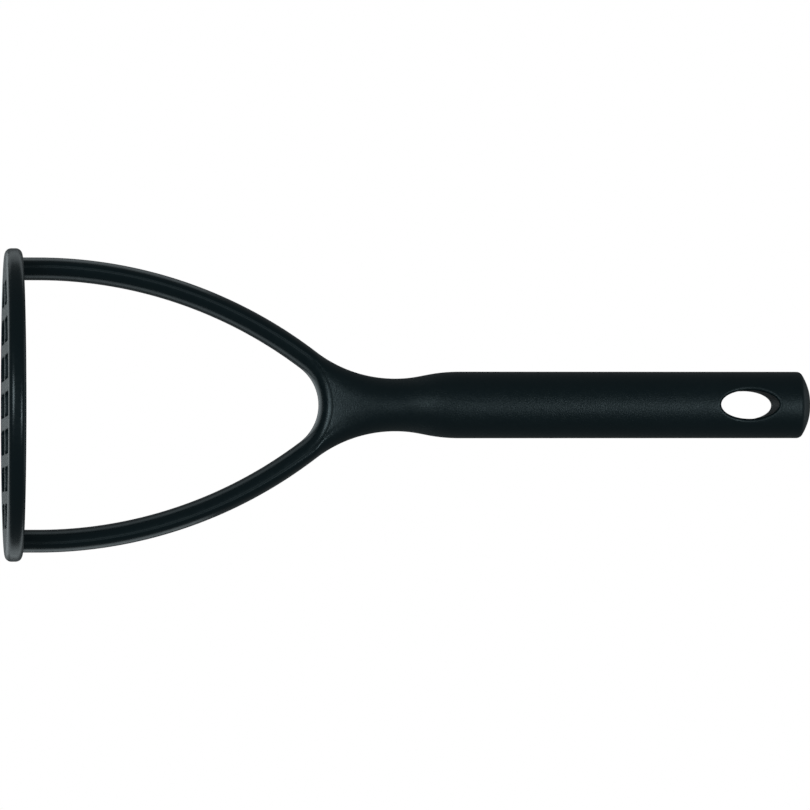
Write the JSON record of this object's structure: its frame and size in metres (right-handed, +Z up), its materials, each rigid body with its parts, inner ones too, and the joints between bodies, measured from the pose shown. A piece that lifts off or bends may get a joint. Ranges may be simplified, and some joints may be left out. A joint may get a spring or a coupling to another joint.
{
  "type": "potato masher",
  "caption": "One-handed masher: a round slotted plate carried by two curved arms that join into a straight round handle with an oval hanging hole.",
  "frame": {"origin": "middle of the mashing face, on the surface that the masher stands on", "axes": "+Z up along the handle towards the hanging hole, X from arm to arm, Y front to back through the hanging hole"},
  "size_m": [0.1, 0.1, 0.259],
  "materials": {
    "grained_nylon": "black glass-filled nylon, finely grained on the handle and neck and smoother on the arms",
    "satin_nylon": "black glass-filled nylon, smooth satin"
  },
  "bodies": {
    "root": {"handle_and_fork": "grained_nylon", "mashing_plate": "satin_nylon"}
  },
  "joints": []
}
